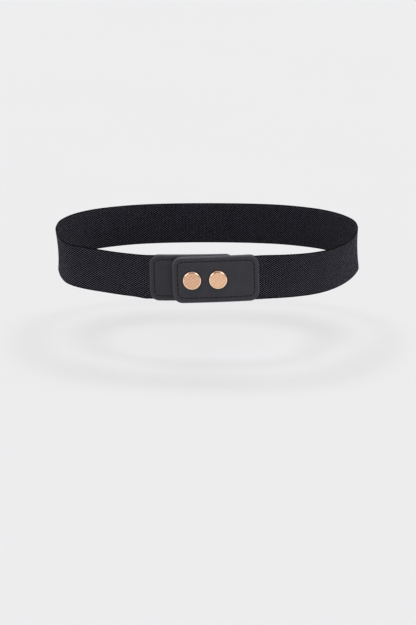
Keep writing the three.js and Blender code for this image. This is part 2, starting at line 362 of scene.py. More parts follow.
def placeSide(side):
    lifted = Matrix.Translation((closure["x"], closure["y"], closure[side + "Lift"]))
    return lifted @ Matrix.Rotation(math.radians(closure[side + "Turn"]), 4, "Y")


placed = {side: placeSide(side) for side in ("under", "over")}


def onClosure(along, up, out):  # from midway between the snaps, bent round the waist
    angle = along / closure["bendRadius"]
    radius = closure["bendRadius"] + out
    return Vector((radius * math.sin(angle), closure["bendRadius"] - radius * math.cos(angle), up))


# Elastic band

elastic = {
    "width": 37.2,
    "thickness": 1.2,
    "inPocket": 15.0,
    "relaxedLength": 580.0,  # before it is stretched round the waist
    "relaxedWidth": 38.0,
    "pastTab": 3.0,  # how far past the tab's edge the band still runs straight
    "pocketOverrun": 4.0,  # how far a tab's pocket is cut past that edge
    "pathStep": 1.0,
    "floatAlong": 2.6,  # the weave's repeat along the band and up it
    "floatUp": 1.75,
    "ribHeight": 0.13,
    "ribSink": 0.5,  # how far the band sinks between the ribs, against their height
    "plainEnd": 3.0,  # the ribs fade out before the band's two cut ends
    "columnsPerRib": 6,
    "mergeWithin": 0.001,
    "faceRows": 15,
    "selvedge": 1.3,
    "selvedgePlain": 0.35,  # how much of the selvedge has no relief
    "edgeRound": 0.35,
    "edgeCorner": (0.1, 0.72),  # how far down, and how much of the thickness is left there
}

# Plan of the band's mid-surface, from the under tab round the back to the over tab:
# x, y, how far it is lifted, and how far its upper and lower edges stand out.
waistline = [
    (-60, -89.7, 0, 1.6, -0.9),
    (-74, -83.3, 0, 2, -1.1),
    (-87, -75.9, 0, 1.9, -1),
    (-101, -67.2, 0, 1.7, -0.6),
    (-113, -57.4, 0, 2.6, -0.8),
    (-120.4, -46.7, 0, 2.3, -0.7),
    (-124.8, -32.8, 0, 1.7, -0.3),
    (-127.9, -17.4, 0, 1.9, -0.1),
    (-129.4, 3, 0, 2.2, 0.7),
    (-127, 28, 0, 2, 0.8),
    (-115.5, 52, 0, 1.8, 0.9),
    (-95, 70.5, 0, 1.5, 1.2),
    (-58, 85, 0, 1.2, 1.4),
    (0, 90, 0, 1, 1.5),
    (58, 85, 0, 1.2, 1.4),
    (95, 70.5, 0, 1, 1.5),
    (115, 52, 0, 0.7, 1.6),
    (127, 28, 0, 0.4, 1.7),
    (129.4, 4, 0, 0.2, 1.8),
    (126, -17, 0, 1, 1.2),
    (120.1, -38.7, 0, 1.7, -0.4),
    (111, -57.4, 0, 2.6, -0.8),
    (99, -74, 0.1, 2.8, -1.2),
    (86, -84.8, 0.4, 2.6, -0.8),
    (73, -92, 0.9, 2.5, -0.4),
    (60, -97.3, 1.4, 1.6, -0.1),
]

tab = {
    "length": 70.4,
    "height": 39.2,
    "corner": 8.0,
    "cornerShrink": 0.78,  # how fast the corners sharpen further in
    "smallestCorner": 0.8,
    "pointsLong": 110,
    "pointsShort": 50,
    "pointsCorner": 10,
    "profileStep": 0.34,
    "backCoarser": 1.5,
    "panelStep": 1.1,
    "middleStrip": 0.9,
    "seamInset": 4.4,
    "capDimple": 0.12,
    "capDimpleRadius": 9.2,
    "capDimpleFade": 0.6,  # how much further out the dish runs, against its radius
    "unevenness": 0.07,
    "unevenSize": (16.0, 11.0),
    "unevenFrom": 0.3,  # the inset where the leather begins to be uneven
    "unevenWithin": 2.0,  # how much further in it is wholly so
    "reliefOut": 1.2,  # how far from the mid-surface the relief is whole
}


def pocketRows(side, way):  # the way into the pocket, 1 to the right and -1 to the left
    edge = closure[side + "Centre"] - way * tab["length"] / 2
    rows = []
    for reach in (elastic["inPocket"], elastic["inPocket"] / 2, 0, -elastic["pastTab"]):
        point = onClosure(edge + way * reach, closure[side + "Into"], closure[side + "Offset"])
        rows.append((*(placed[side] @ point), 0, 0))
    return rows


wholeWaistline = pocketRows("under", 1) + waistline + pocketRows("over", -1)[::-1]
pathRows = rowsBetween(wholeWaistline, elastic["pathStep"])
pathAt = np.concatenate([[0], np.cumsum(np.linalg.norm(np.diff(pathRows[:, :3], axis=0), axis=1))])
bandLength = pathAt[-1]
pathAlong = np.gradient(pathRows[:, :3], pathAt, axis=0)


# Points of the band: at a place along it, a height across it and a depth out from its mid-surface.
def onBand(place, height, depth):
    column = [np.interp(place, pathAt, pathRows[:, c]) for c in range(5)]
    along = np.stack([np.interp(place, pathAt, pathAlong[:, c]) for c in range(3)], axis=-1)
    along /= np.linalg.norm(along, axis=-1, keepdims=True)
    up = np.array([0, 0, 1.0]) - along * along[..., 2:3]
    up /= np.linalg.norm(up, axis=-1, keepdims=True)
    out = np.cross(up, along)
    share = height / (elastic["width"] / 2)
    lean, bow = (column[3] - column[4]) / 2, (column[3] + column[4]) / 2
    flare = lean * share + bow * share ** 2
    middle = np.stack(column[:3], axis=-1)
    return middle + up * height[..., None] + out * (flare + depth)[..., None]


# The section's ring: height, side (1 out, -1 in) and how much of the ribs' relief is left there.
def bandSection(faceRows, margin):
    half = elastic["width"] / 2 + margin
    top = half - elastic["edgeRound"]
    heights = np.linspace(-top, top, faceRows)
    fromEdge = (half - np.abs(heights)) / elastic["selvedge"]
    relief = np.clip(fromEdge - elastic["selvedgePlain"], 0, 1)
    outer = [(h, 1.0, r) for h, r in zip(heights, relief)]
    drop, left = elastic["edgeCorner"]
    upperEdge = [(half - drop, left, 0), (half, 0.0, 0), (half - drop, -left, 0)]
    inner = [(h, -1.0, r) for h, r in zip(heights[::-1], relief[::-1])]
    lowerEdge = [(-h, -side, 0) for h, side, _ in upperEdge]
    return np.array(outer + upperEdge + inner + lowerEdge)


weave = {
    # dark and light colour the weave's valleys and float tops: painted shade and painted highlight over
    # its relief
    "dark": 0.001,
    "light": 0.198,
    "reverseShadedLight": 0.13,  # painted shade: the reverse, inside the loop, is painted darker and plainer than the face
    "ribFrom": 0.5,
    "floatRange": (-0.1, 0.9),
    "floatShare": 0.6,  # how much of a rib's height its floats give
    "plainEdge": 0.4,
    "patchSize": 14.0,
    "patches": (0.93, 1.06),
    "fibreWidth": 0.22,
    "fibreLength": 0.9,
    "fibreShade": (0.5, 0.75),  # what the fibres add to the shade, and what is there without them
    "fibreHeight": 0.35,
    "roughness": (0.92, 0.6),
    "bump": 0.3,
}


def makeElasticMaterial(name, floatShade):
    shaderValues = {"Sheen Weight": 0.012, "Sheen Roughness": 0.3, "Specular IOR Level": 0.03}
    material, tree = newMaterial(name, shaderValues)
    plan = uvPlace(tree, "bandPlan")
    split = splitUp(tree, plan)
    along = multiply(tree, split["X"], perMetre / elastic["floatAlong"])
    up = multiply(tree, split["Y"], perMetre / elastic["floatUp"])
    rising = multiply(tree, calculate(tree, "ADD", along, up), 2 * math.pi)
    falling = multiply(tree, calculate(tree, "SUBTRACT", along, up), 2 * math.pi)
    rib = remap(tree, calculate(tree, "COSINE", rising), weave["ribFrom"], 1.0)
    floats = remap(tree, calculate(tree, "COSINE", falling), *weave["floatRange"])
    floats = calculate(tree, "MULTIPLY_ADD", floats, weave["floatShare"], 1 - weave["floatShare"])
    halfWidth = elastic["width"] / 2 / perMetre
    fromEdge = calculate(tree, "SUBTRACT", halfWidth, calculate(tree, "ABSOLUTE", split["Y"]))
    body = remap(tree, fromEdge, weave["plainEdge"] / perMetre, elastic["selvedge"] / perMetre)
    shown = multiply(tree, multiply(tree, rib, floats), body)
    uneven = patchesAt(tree, objectPlace(tree), weave["patchSize"], *weave["patches"])
    fibres = fibresAt(tree, plan, weave["fibreWidth"], weave["fibreLength"])
    lit = multiply(tree, shown, uneven)
    lit = multiply(tree, lit, calculate(tree, "MULTIPLY_ADD", fibres, *weave["fibreShade"]))
    # Painted highlight and shade: the float tops are painted lighter and the valleys between them near
    # black.
    colour = mixColour(tree, lit, grey(weave["dark"], blue=1.3), grey(floatShade, blue=1.25))
    roughness = remap(tree, shown, 0.0, 1.0, *weave["roughness"])
    fibres = multiply(tree, calculate(tree, "SUBTRACT", fibres, 0.5), weave["fibreHeight"])
    bump = bumpOf(tree, calculate(tree, "ADD", shown, fibres), weave["bump"], 1.0)
    return shadeWith(material, colour, roughness, bump)


def makeElasticBand():
    ring = bandSection(elastic["faceRows"], 0)
    heights, sides, relief = ring.T
    lean = elastic["floatAlong"] / elastic["floatUp"]  # the ribs' run along the band for each step up
    columnStep = elastic["floatAlong"] / elastic["columnsPerRib"]
    overrun = math.ceil(lean * elastic["width"] / 2 / columnStep)
    columns = np.arange(-overrun, math.ceil(bandLength / columnStep) + overrun + 1)
    start = columns[:, None] * columnStep
    place = np.clip(start - lean * heights[None, :], 0, bandLength)
    height = np.broadcast_to(heights, place.shape)
    rib = 0.5 + 0.5 * np.cos(2 * np.pi * start / elastic["floatAlong"])
    half = elastic["thickness"] / 2 - elastic["ribHeight"] / 2
    fade = np.clip(np.minimum(place, bandLength - place) / elastic["plainEnd"], 0, 1)
    raised = rib - elastic["ribSink"] * (1 - rib)
    depth = sides * half + sides * relief * elastic["ribHeight"] * fade * raised
    points = onBand(place, height, depth)
    count = len(ring)
    faces = ringFaces(len(columns), count) + endFaces(len(columns), count)
    materials = [
        makeElasticMaterial("blackWovenElastic", weave["light"]),
        makeElasticMaterial("blackWovenElasticReverseShaded", weave["reverseShadedLight"]),
    ]
    piece = makePiece("elasticBand", points.reshape(-1, 3), faces, materials, "elastic")
    mesh = piece.data
    for polygon in mesh.polygons:
        inside = all(sides[v % count] < 0 for v in polygon.vertices)
        polygon.material_index = int(inside)  # the second material is the weave's reverse, painted darker as shade
    addUvs(mesh, "bandPlan", np.stack([place.ravel(), height.ravel()], axis=-1) / perMetre)
    pointOutward(mesh, elastic["mergeWithin"] / perMetre)  # the columns run together at both ends
    smoothUpTo(piece, 60)
    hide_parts("elastic_band")
    return piece


# A plain piece of the band, a little larger than it, for cutting a tab's pocket.
def pocketCutter(fromPlace, toPlace):
    gap, faceRows, columns = 0.15, 5, 8
    ring = bandSection(faceRows, gap)
    place = np.linspace(fromPlace, toPlace, columns)[:, None] + np.zeros(len(ring))
    depth = np.sign(ring[:, 1]) * (elastic["thickness"] / 2 + gap) + np.zeros(place.shape)
    points = onBand(np.clip(place, 0, bandLength), ring[:, 0] + np.zeros(place.shape), depth)
    beyond = onBand(np.array([0.0, 1.0, bandLength - 1.0, bandLength]), np.zeros(4), np.zeros(4))
    points[0] += (beyond[0] - beyond[1]) * gap if fromPlace <= 0 else 0
    points[-1] += (beyond[3] - beyond[2]) * gap if toPlace >= bandLength else 0
    count = len(ring)
    faces = ringFaces(columns, count) + endFaces(columns, count)
    cutter = makePiece("pocketCutter", points.reshape(-1, 3), faces, [], None)
    pointOutward(cutter.data)
    return cutter


band = makeElasticBand()
print("elastic band woven:", len(band.data.polygons), "faces,", round(bandLength), "mm long")


# Leather-cloth tabs

# Half of a tab's section, from the edge inward: inset from the outline, and height above the
# mid-surface. The front has a rolled rim, the seam's groove and a padded panel.
frontProfile = [
    (0.0, 0.0),
    (0.1, 0.5),
    (0.45, 0.92),
    (1.05, 1.24),
    (1.8, 1.45),
    (2.6, 1.52),
    (3.5, 1.5),
    (4.05, 1.46),
    (4.4, 1.42),
    (4.75, 1.45),
    (5.3, 1.48),
    (6.0, 1.52),
    (7.0, 1.56),
    (8.5, 1.6),
]
backProfile = [
    (0.0, 0.0),
    (0.06, -0.6),
    (0.45, -1.22),
    (1.1, -1.46),
    (2.2, -1.54),
    (3.8, -1.48),
    (4.4, -1.43),
    (4.9, -1.48),
    (5.8, -1.58),
    (7.0, -1.6),
]


# A rounded rectangle at an inset, from low on the left side over the top to low on the right,
# and back under, so that point k lies opposite point n - 1 - k.
def tabRing(inset):
    halfLength = tab["length"] / 2 - inset
    halfHeight = tab["height"] / 2 - inset
    corner = max(tab["corner"] - inset * tab["cornerShrink"], tab["smallestCorner"])
    pointsUp = tab["pointsShort"] // 2
    sideUp = (np.arange(pointsUp) + 0.5) / pointsUp * (halfHeight - corner)
    angles = np.linspace(0, math.pi / 2, tab["pointsCorner"])
    topAlong = np.linspace(-1, 1, tab["pointsLong"] + 1)[1:-1] * (halfLength - corner)
    middle = (corner - halfLength, halfHeight - corner)  # of the corner's arc
    left = [(-halfLength, u) for u in sideUp]
    left += [(middle[0] - corner * math.cos(a), middle[1] + corner * math.sin(a)) for a in angles]
    upper = left + [(a, halfHeight) for a in topAlong] + [(-a, u) for a, u in reversed(left)]
    return np.array(upper + [(a, -u) for a, u in reversed(upper)])


def seamPlaces(inset, pitch):  # the place at a distance along the seam, its even step and their count
    loop = tabRing(inset)
    closed = np.vstack([loop, loop[:1]])
    at = np.concatenate([[0], np.cumsum(np.hypot(*np.diff(closed, axis=0).T))])
    count = round(at[-1] / pitch)

    def walk(distance):
        return np.array([np.interp(distance % at[-1], at, column) for column in closed.T])

    return walk, at[-1] / count, count


stitch = {
    "pitch": 4.0,
    "gap": 1.7,
    "radius": 0.36,
    "endShare": 0.7,
    "rings": 9,
    "sides": 8,
    "arch": 0.16,
    "pull": 0.42,  # how far a stitch pulls the leather in, and how wide
    "pullWidth": 0.5,
}


def stitchEnds():
    walk, pitch, count = seamPlaces(tab["seamInset"], stitch["pitch"])
    half = (pitch - stitch["gap"]) / 2
    return [(walk(i * pitch - half), walk(i * pitch + half)) for i in range(count)]


# How far the leather rises or sinks at the points of a ring: slow unevenness, a shallow dish where
# the caps press, and each stitch's pull, which is given back by itself as well, for the painted shade in
# the stitches' pits.
def leatherRelief(along, up, inset, capPlaces, seed, stitches):
    long, short = tab["unevenSize"]
    spots = [Vector((a / long, u / short, seed)) for a, u in zip(along, up)]
    rise = np.array([noise.noise(spot) * tab["unevenness"] for spot in spots])
    rise *= np.clip((inset - tab["unevenFrom"]) / tab["unevenWithin"], 0, 1)
    for capPlace in capPlaces:
        distance = np.hypot(along - capPlace, up) / tab["capDimpleRadius"]
        fade = tab["capDimpleFade"]
        rise -= tab["capDimple"] * np.clip(1 + fade - distance, 0, fade) / fade
    near = np.full(len(along), np.inf)
    for start, end in stitches:  # the distance to the nearest stitch
        run = end - start
        share = ((along - start[0]) * run[0] + (up - start[1]) * run[1]) / run.dot(run)
        share = np.clip(share, 0, 1)
        across = np.hypot(along - start[0] - share * run[0], up - start[1] - share * run[1])
        near = np.minimum(near, across)
    pull = np.exp(-(near / stitch["pullWidth"]) ** 2)
    return rise - stitch["pull"] * pull, pull


leather = {
    "panelDark": 0.033,
    "panelLight": 0.039,
    "underPaintedShade": 0.82,  # painted shade: the under tab's copy of the same cloth is painted darker, for the over tab's shade
    # the rolled rim is worn paler and also painted lighter for its highlight; the line on the panel's
    # shoulder is a painted highlight
    "wearAndHighlight": 0.06,
    "crease": 0.015,
    # painted shade for the seam's groove, the stitches' pits and the ring round each cap
    "paintedShade": 0.012,
    "wornAndHighlitEdge": (1.0, 0.6),  # a line's inset and width
    "shoulderHighlightLine": (tab["seamInset"] + 0.9, 0.5),
    "shoulderHighlight": 0.4,
    "seamLine": (tab["seamInset"], 0.5),
    "seamPaintedShade": 0.03,
    "creaseShade": 0.5,
    "ringRadius": 7.7,
    "ringWidth": 0.8,
    # the painted shadow round each cap
    "ringPaintedShadow": 0.8,
    "ringDepth": 2.0,  # times the bump's depth, as are the cells' height and the patches'
    "patchSize": 9.0,
    "finePatchSize": 2.2,
    "finePatches": (0.45, 1.0),
    "cell": 0.62,
    "roughness": (0.46, 0.54),
    "rubbedSmoother": 0.08,
    "cellHeight": 0.7,
    "patchHeight": 0.5,
    "bump": 0.08,
    "bumpStrength": 0.8,
}


def makeLeatherMaterial(name, shade):
    material, tree = newMaterial(name, {"Specular IOR Level": 0.26})
    place = objectPlace(tree)
    split = splitUp(tree, uvPlace(tree, "tabShade"))
    inset = multiply(tree, split["X"], perMetre)
    plan = uvPlace(tree, "tabPlan")
    dentAndShadow = 0.0  # a narrow ring where each cap's edge presses the leather in: a dent in the bump, and a painted shadow in the colour
    for snapPlace in snapPlaces:
        ends = {0: plan, 1: (snapPlace / perMetre, 0, 0)}
        away = addNode(tree, "ShaderNodeVectorMath", ends, operation="DISTANCE").outputs["Value"]
        off = calculate(tree, "MULTIPLY_ADD", away, perMetre, -leather["ringRadius"])
        ring = remap(tree, calculate(tree, "ABSOLUTE", off), 0.0, leather["ringWidth"], 1.0, 0.0)
        dentAndShadow = calculate(tree, "MAXIMUM", ring, dentAndShadow)

    def lineAt(middle, width):  # a soft line that follows the outline at an inset
        away = calculate(tree, "ABSOLUTE", calculate(tree, "SUBTRACT", inset, middle))
        return remap(tree, away, 0.0, width, 1.0, 0.0)

    uneven = patchesAt(tree, place, leather["patchSize"])
    fineUneven = patchesAt(tree, place, leather["finePatchSize"], *leather["finePatches"])
    grain = placeGroup(tree, pebble, {"Place": place, "Cell mm": leather["cell"]})
    # Painted highlight: a light line on the padded panel's shoulder just inside the seam, and on the
    # rolled rim, which wear also rubs paler.
    wearAndHighlight = multiply(tree, lineAt(*leather["shoulderHighlightLine"]), leather["shoulderHighlight"])
    wearAndHighlight = calculate(tree, "MAXIMUM", lineAt(*leather["wornAndHighlitEdge"]), wearAndHighlight)
    wearAndHighlight = multiply(tree, wearAndHighlight, fineUneven)
    creased = multiply(tree, grain["Valley"], leather["creaseShade"])
    # Painted shade: the seam's groove, the pits where stitches pull the leather in, and a ring round
    # each cap are painted darker.
    paintedShade = multiply(tree, lineAt(*leather["seamLine"]), leather["seamPaintedShade"])
    paintedShade = calculate(tree, "MAXIMUM", paintedShade, split["Y"])
    paintedShade = calculate(tree, "MAXIMUM", paintedShade, multiply(tree, dentAndShadow, leather["ringPaintedShadow"]))
    panel = [grey(leather[tone] * shade, blue=1.2, green=1.0) for tone in ("panelDark", "panelLight")]
    colour = mixColour(tree, uneven, *panel)
    colour = mixColour(tree, wearAndHighlight, colour, grey(leather["wearAndHighlight"], blue=1.12))
    colour = mixColour(tree, creased, colour, grey(leather["crease"], blue=1.1))
    colour = mixColour(tree, paintedShade, colour, grey(leather["paintedShade"], blue=1.1))
    roughness = remap(tree, uneven, 0.0, 1.0, *leather["roughness"])
    roughness = calculate(tree, "MULTIPLY_ADD", wearAndHighlight, -leather["rubbedSmoother"], roughness)
    height = multiply(tree, fineUneven, leather["patchHeight"])
    height = calculate(tree, "MULTIPLY_ADD", grain["Height"], leather["cellHeight"], height)
    height = calculate(tree, "MULTIPLY_ADD", dentAndShadow, -leather["ringDepth"], height)
    bump = bumpOf(tree, height, leather["bump"], leather["bumpStrength"])
    return shadeWith(material, colour, roughness, bump)


thread = {
    "dark": 0.005,
    "light": 0.013,
    "fibreWidth": 0.09,
    "fibreLength": 0.5,
    "roughness": (0.55, 0.4),
    "bump": 0.05,
    "bumpStrength": 0.5,
}


def makeThreadMaterial():
    material, tree = newMaterial("blackSewingThread", {"Specular IOR Level": 0.2})
    fibres = fibresAt(tree, objectPlace(tree), thread["fibreWidth"], thread["fibreLength"])
    colour = mixColour(tree, fibres, grey(thread["dark"]), grey(thread["light"]))
    roughness = remap(tree, fibres, *mostNoise, *thread["roughness"])
    bump = bumpOf(tree, fibres, thread["bump"], thread["bumpStrength"])
    return shadeWith(material, colour, roughness, bump)


leatherCloth = {
    "over": makeLeatherMaterial("blackLeatherCloth", 1.0),
    # The under tab's leather is a darker copy of the same cloth: painted shade.
    "under": makeLeatherMaterial("blackLeatherClothPaintedShade", leather["underPaintedShade"]),
}
sewingThread = makeThreadMaterial()


def makeTab(side, pocket, seed):
    centre, offset = closure[side + "Centre"], closure[side + "Offset"]
    panelWidth = tab["height"] / 2 - frontProfile[-1][0] - tab["middleStrip"]
    panelInsets = np.arange(tab["panelStep"], panelWidth, tab["panelStep"])

    def acrossPanel(profile):  # level rings carry it on to near the middle
        level = np.full(len(panelInsets), profile[-1, 1])
        return np.vstack([profile, np.stack([profile[-1, 0] + panelInsets, level], axis=-1)])

    front = acrossPanel(rowsBetween(frontProfile, tab["profileStep"]))
    back = acrossPanel(rowsBetween(backProfile, tab["profileStep"] * tab["backCoarser"]))
    section = np.vstack([front[::-1], back[1:]])
    stitches = stitchEnds()
    noCap = (1, 1)  # a metre off, where no cap presses
    points, shades, plan = [], [], []
    for inset, out in section:
        ring = tabRing(inset)
        presses = [s - centre for s in snapPlaces] if out > 0 and side == "over" else []
        share = min(abs(out) / tab["reliefOut"], 1.0) * np.sign(out)
        rise, pull = leatherRelief(ring[:, 0], ring[:, 1], inset, presses, seed, stitches)
        for (along, up), lift, pulled in zip(ring, rise, pull):
            points.append(placed[side] @ onClosure(centre + along, up, offset + out + lift * share))
            shades.append((inset / perMetre, pulled))
            plan.append(((centre + along) / perMetre, up / perMetre) if presses else noCap)
    size = (len(section), len(tabRing(0)))
    faces = ringFaces(*size) + endStrips(*size)
    piece = makePiece(side + "TabLeather", points, faces, [leatherCloth[side]], "leather_cloth")
    addUvs(piece.data, "tabShade", shades)
    addUvs(piece.data, "tabPlan", plan)
    cutAway(piece, [pocketCutter(*pocket)] + [holeCutter(s) for s in snapPlaces])
    smoothUpTo(piece, 50)
    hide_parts(side + "_tab")
    return piece


def snapFrame(place):  # matrix whose Z stands square out of the tabs at a snap
    angle = place / closure["bendRadius"]
    along = Vector((math.cos(angle), math.sin(angle), 0))
    out = Vector((math.sin(angle), -math.cos(angle), 0))
    base = onClosure(place, 0, 0)
    axes = Matrix((along, Vector((0, 0, 1)), out)).transposed().to_4x4()
    return placed["over"] @ Matrix.Translation(base) @ axes


post = {"radius": 1.8, "hole": 2.1, "intoWeb": 0.1}


def holeCutter(place):
    matrix = snapFrame(place)
    sides, reach = 32, 20.0
    points = [
        matrix @ Vector((post["hole"] * math.cos(a), post["hole"] * math.sin(a), z))
        for z in (-reach, reach)
        for a in (2 * math.pi * i / sides for i in range(sides))
    ]
    return makePiece("postHole", points, ringFaces(2, sides) + endFaces(2, sides), [], None)


# One stitch is a short arched thread whose two ends dip into the leather.
def makeStitches(side):
    centre, offset = closure[side + "Centre"], closure[side + "Offset"]
    points, faces = [], []
    for outward, profile in ((1, frontProfile), (-1, backProfile)):
        groove = abs(np.interp(tab["seamInset"], *np.transpose(profile)))  # how far out its floor is
        for start, end in stitchEnds():
            first = len(points)
            run = (end - start) / np.hypot(*(end - start))
            across = np.array([-run[1], run[0]])
            for ring in range(stitch["rings"]):
                t = ring / (stitch["rings"] - 1)
                arch = math.sin(math.pi * t)
                radius = stitch["radius"] * (stitch["endShare"] + (1 - stitch["endShare"]) * arch)
                level = groove - stitch["pull"] + stitch["arch"] * arch
                here = start * (1 - t) + end * t
                for k in range(stitch["sides"]):
                    a = 2 * math.pi * k / stitch["sides"]
                    spot = here + across * radius * math.cos(a)
                    out = outward * (level + radius * math.sin(a))
                    points.append(placed[side] @ onClosure(centre + spot[0], spot[1], offset + out))
            size = (stitch["rings"], stitch["sides"])
            faces += [tuple(first + v for v in face) for face in ringFaces(*size) + endFaces(*size)]
    piece = makePiece(side + "TabStitches", points, faces, [sewingThread], "leather_cloth")
    pointOutward(piece.data)
    smoothUpTo(piece, 60)


pocketReach = elastic["inPocket"] + elastic["pocketOverrun"]
underTab = makeTab("under", (0.0, pocketReach), seed=3.7)
overTab = makeTab("over", (bandLength - pocketReach, bandLength), seed=9.2)
makeStitches("under")
makeStitches("over")
print("tabs cut and sewn:", len(underTab.data.polygons) + len(overTab.data.polygons), "faces")


# Snap fasteners

snap = {"roundedEdge": 0.3, "sides": 96, "filletSteps": 5}
cap = {"radius": 7.3, "height": 2.2, "innerRadius": 6.4, "dome": 0.15, "domeSteps": 8}
capEdge = {"startSlope": 12.0, "endSlope": 40.0, "steps": 12}  # how the rim rounds over, in degrees
capGroove = {"width": 0.3, "depth": 0.2, "polished": 0.4}  # the rim's polish covers this share
socket = {"radius": 5.9, "height": 1.3, "cupRadius": 3.1}
stud = {"radius": 5.5, "flange": 0.5, "neckRadius": 2.6, "headRadius": 2.8, "headHeight": 0.95}
eyelet = {
    "radius": 5.0,
    "head": 0.7,
    "reach": 1.1,
    "hollowRadius": 1.7,
    "hollow": 0.4,
    "hollowSlope": 0.35,
}
seatGap = 0.2
halfTab = 1.6
edge = snap["roundedEdge"]

# Faces that the pieces sit on or reach to, out from the under tab's mid-surface.
underBack = -halfTab - seatGap
studSeat = halfTab + seatGap
studFace = studSeat + stud["flange"]
studHead = studFace + stud["headHeight"]
socketFace = studFace + seatGap
socketWeb = studHead + seatGap
socketBack = socketFace + socket["height"]
capSeat = closure["overOffset"] + halfTab + seatGap
capFace = capSeat + cap["height"]
eyeletEnd = halfTab + eyelet["reach"]


metal = {
    "leftBright": (1.0, 0.66, 0.44),
    "leftDeep": (0.62, 0.325, 0.195),
    "rightBright": (1.0, 0.695, 0.455),  # painted light: the right cap's copy of the same plating is painted paler, as if it caught more light
    "rightDeep": (0.81, 0.445, 0.27),
    "rimBright": (1.0, 0.76, 0.58),
    "rimDeep": (0.97, 0.70, 0.51),
    "plainBright": (1.0, 0.73, 0.53),
    "plainDeep": (0.95, 0.66, 0.46),
    "strokes": ((48, 1.9), (-43, 2.0)),  # degrees and step of the two ways it is brushed
    "hatchRange": (0.15, 1.85),  # of both ways' strokes together
    "fineRange": (0.8, 1.2),
    "patchSize": 4.0,
    "patchShare": 0.15,
    "bumpStrength": 0.4,
}


# Rose-gold plate, brushed both ways across its face: coarse strokes for the colour, fine ones
# for the gloss.
def makeMetalMaterial(name, tones, roughLow, roughHigh, strokeDepth):
    material, tree = newMaterial(name, {"Metallic": 1.0})
    plan = uvPlace(tree, "metalPlan")
    ways = [
        placeGroup(tree, brushing, {"Place": plan, "Turn": math.radians(degrees), "Step mm": step})
        for degrees, step in metal["strokes"]
    ]
    patches = multiply(tree, patchesAt(tree, plan, metal["patchSize"]), metal["patchShare"])
    hatch = calculate(tree, "ADD", *[way["Strokes"] for way in ways])
    hatch = remap(tree, hatch, *metal["hatchRange"])
    fineHatch = calculate(tree, "ADD", *[way["Fine"] for way in ways])
    fineHatch = remap(tree, fineHatch, *metal["fineRange"])
    shade = calculate(tree, "MULTIPLY_ADD", hatch, 1 - metal["patchShare"], patches)
    deep, bright = (*metal[tones + "Deep"], 1.0), (*metal[tones + "Bright"], 1.0)
    roughness = remap(tree, fineHatch, 0.0, 1.0, roughLow, roughHigh)
    bump = bumpOf(tree, fineHatch, strokeDepth, metal["bumpStrength"])
    return shadeWith(material, mixColour(tree, shade, deep, bright), roughness, bump)


# Each finish: its name, its colours, its roughness from and to, and how deep its strokes are.
finishes = {
    "Left": ("roseGoldBrushed", "left", 0.24, 0.4, 0.012),
    # the right cap's brushed face is a paler copy of the left's: painted light
    "Right": ("roseGoldBrushedPaintedLight", "right", 0.24, 0.4, 0.012),
    "rim": ("roseGoldPolished", "rim", 0.08, 0.12, 0.002),
    "edge": ("roseGoldMatt", "rim", 0.68, 0.76, 0.004),
    "hidden": ("roseGoldPlain", "plain", 0.22, 0.34, 0.004),
}
metals = {use: makeMetalMaterial(*finish) for use, finish in finishes.items()}


# Rounds the corners of a profile of (radius, out, fillet) rows with arcs.
def roundedProfile(rows, closed):
    made = []
    count = len(rows)
    for i, (radius, out, fillet) in enumerate(rows):
        corner = Vector((radius, out))
        if not fillet or (not closed and i in (0, count - 1)):
            made.append(corner)
            continue
        toBefore = Vector(rows[i - 1][:2]) - corner
        toAfter = Vector(rows[(i + 1) % count][:2]) - corner
        most = 0.49  # of an edge, so that two arcs never meet
        reach = min(fillet, toBefore.length * most, toAfter.length * most)
        start, end = corner + toBefore.normalized() * reach, corner + toAfter.normalized() * reach
        for step in range(snap["filletSteps"] + 1):
            t = step / snap["filletSteps"]
            made.append(start * (1 - t) ** 2 + corner * 2 * t * (1 - t) + end * t ** 2)
    return made


# A cap's materials are its face, its rim past faceRadius, and its edge below edgeBelow.
def makeTurned(kind, side, place, rows, materials, closed=False, faceRadius=None, edgeBelow=None):
    matrix = snapFrame(place)
    profile = roundedProfile(rows, closed)
    sides = snap["sides"]
    points, plan, starts, counts = [], [], [], []
    for spot in profile:
        starts.append(len(points))
        counts.append(1 if spot.x < 1e-6 else sides)  # on the axis one point stands for all
        for k in range(counts[-1]):
            a = 2 * math.pi * k / sides
            flat = (spot.x * math.cos(a), spot.x * math.sin(a))
            points.append(matrix @ Vector((*flat, spot.y)))
            plan.append(((flat[0] + place) / perMetre, flat[1] / perMetre))
    faces, indexes = [], []
    steps = len(profile) if closed else len(profile) - 1
    for i in range(steps):
        j = (i + 1) % len(profile)
        low, high = profile[i], profile[j]
        index = 0
        if faceRadius is not None and min(low.y, high.y) < edgeBelow:
            index = 2
        elif faceRadius is not None and max(low.x, high.x) > faceRadius:
            index = 1
        for k in range(sides):
            turns = ((i, k), (i, k + 1), (j, k + 1), (j, k))
            corners = [starts[ring] + turn % counts[ring] for ring, turn in turns]
            faces.append(tuple(v for n, v in enumerate(corners) if v not in corners[:n]))
            indexes.append(index)
    piece = makePiece("snap" + kind + side, points, faces, materials, "snap_metal")
    for polygon, index in zip(piece.data.polygons, indexes):
        polygon.material_index = index
    addUvs(piece.data, "metalPlan", plan)
    pointOutward(piece.data)
    smoothUpTo(piece, 40)
    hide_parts("snap_" + kind.lower() + "_" + side.lower())


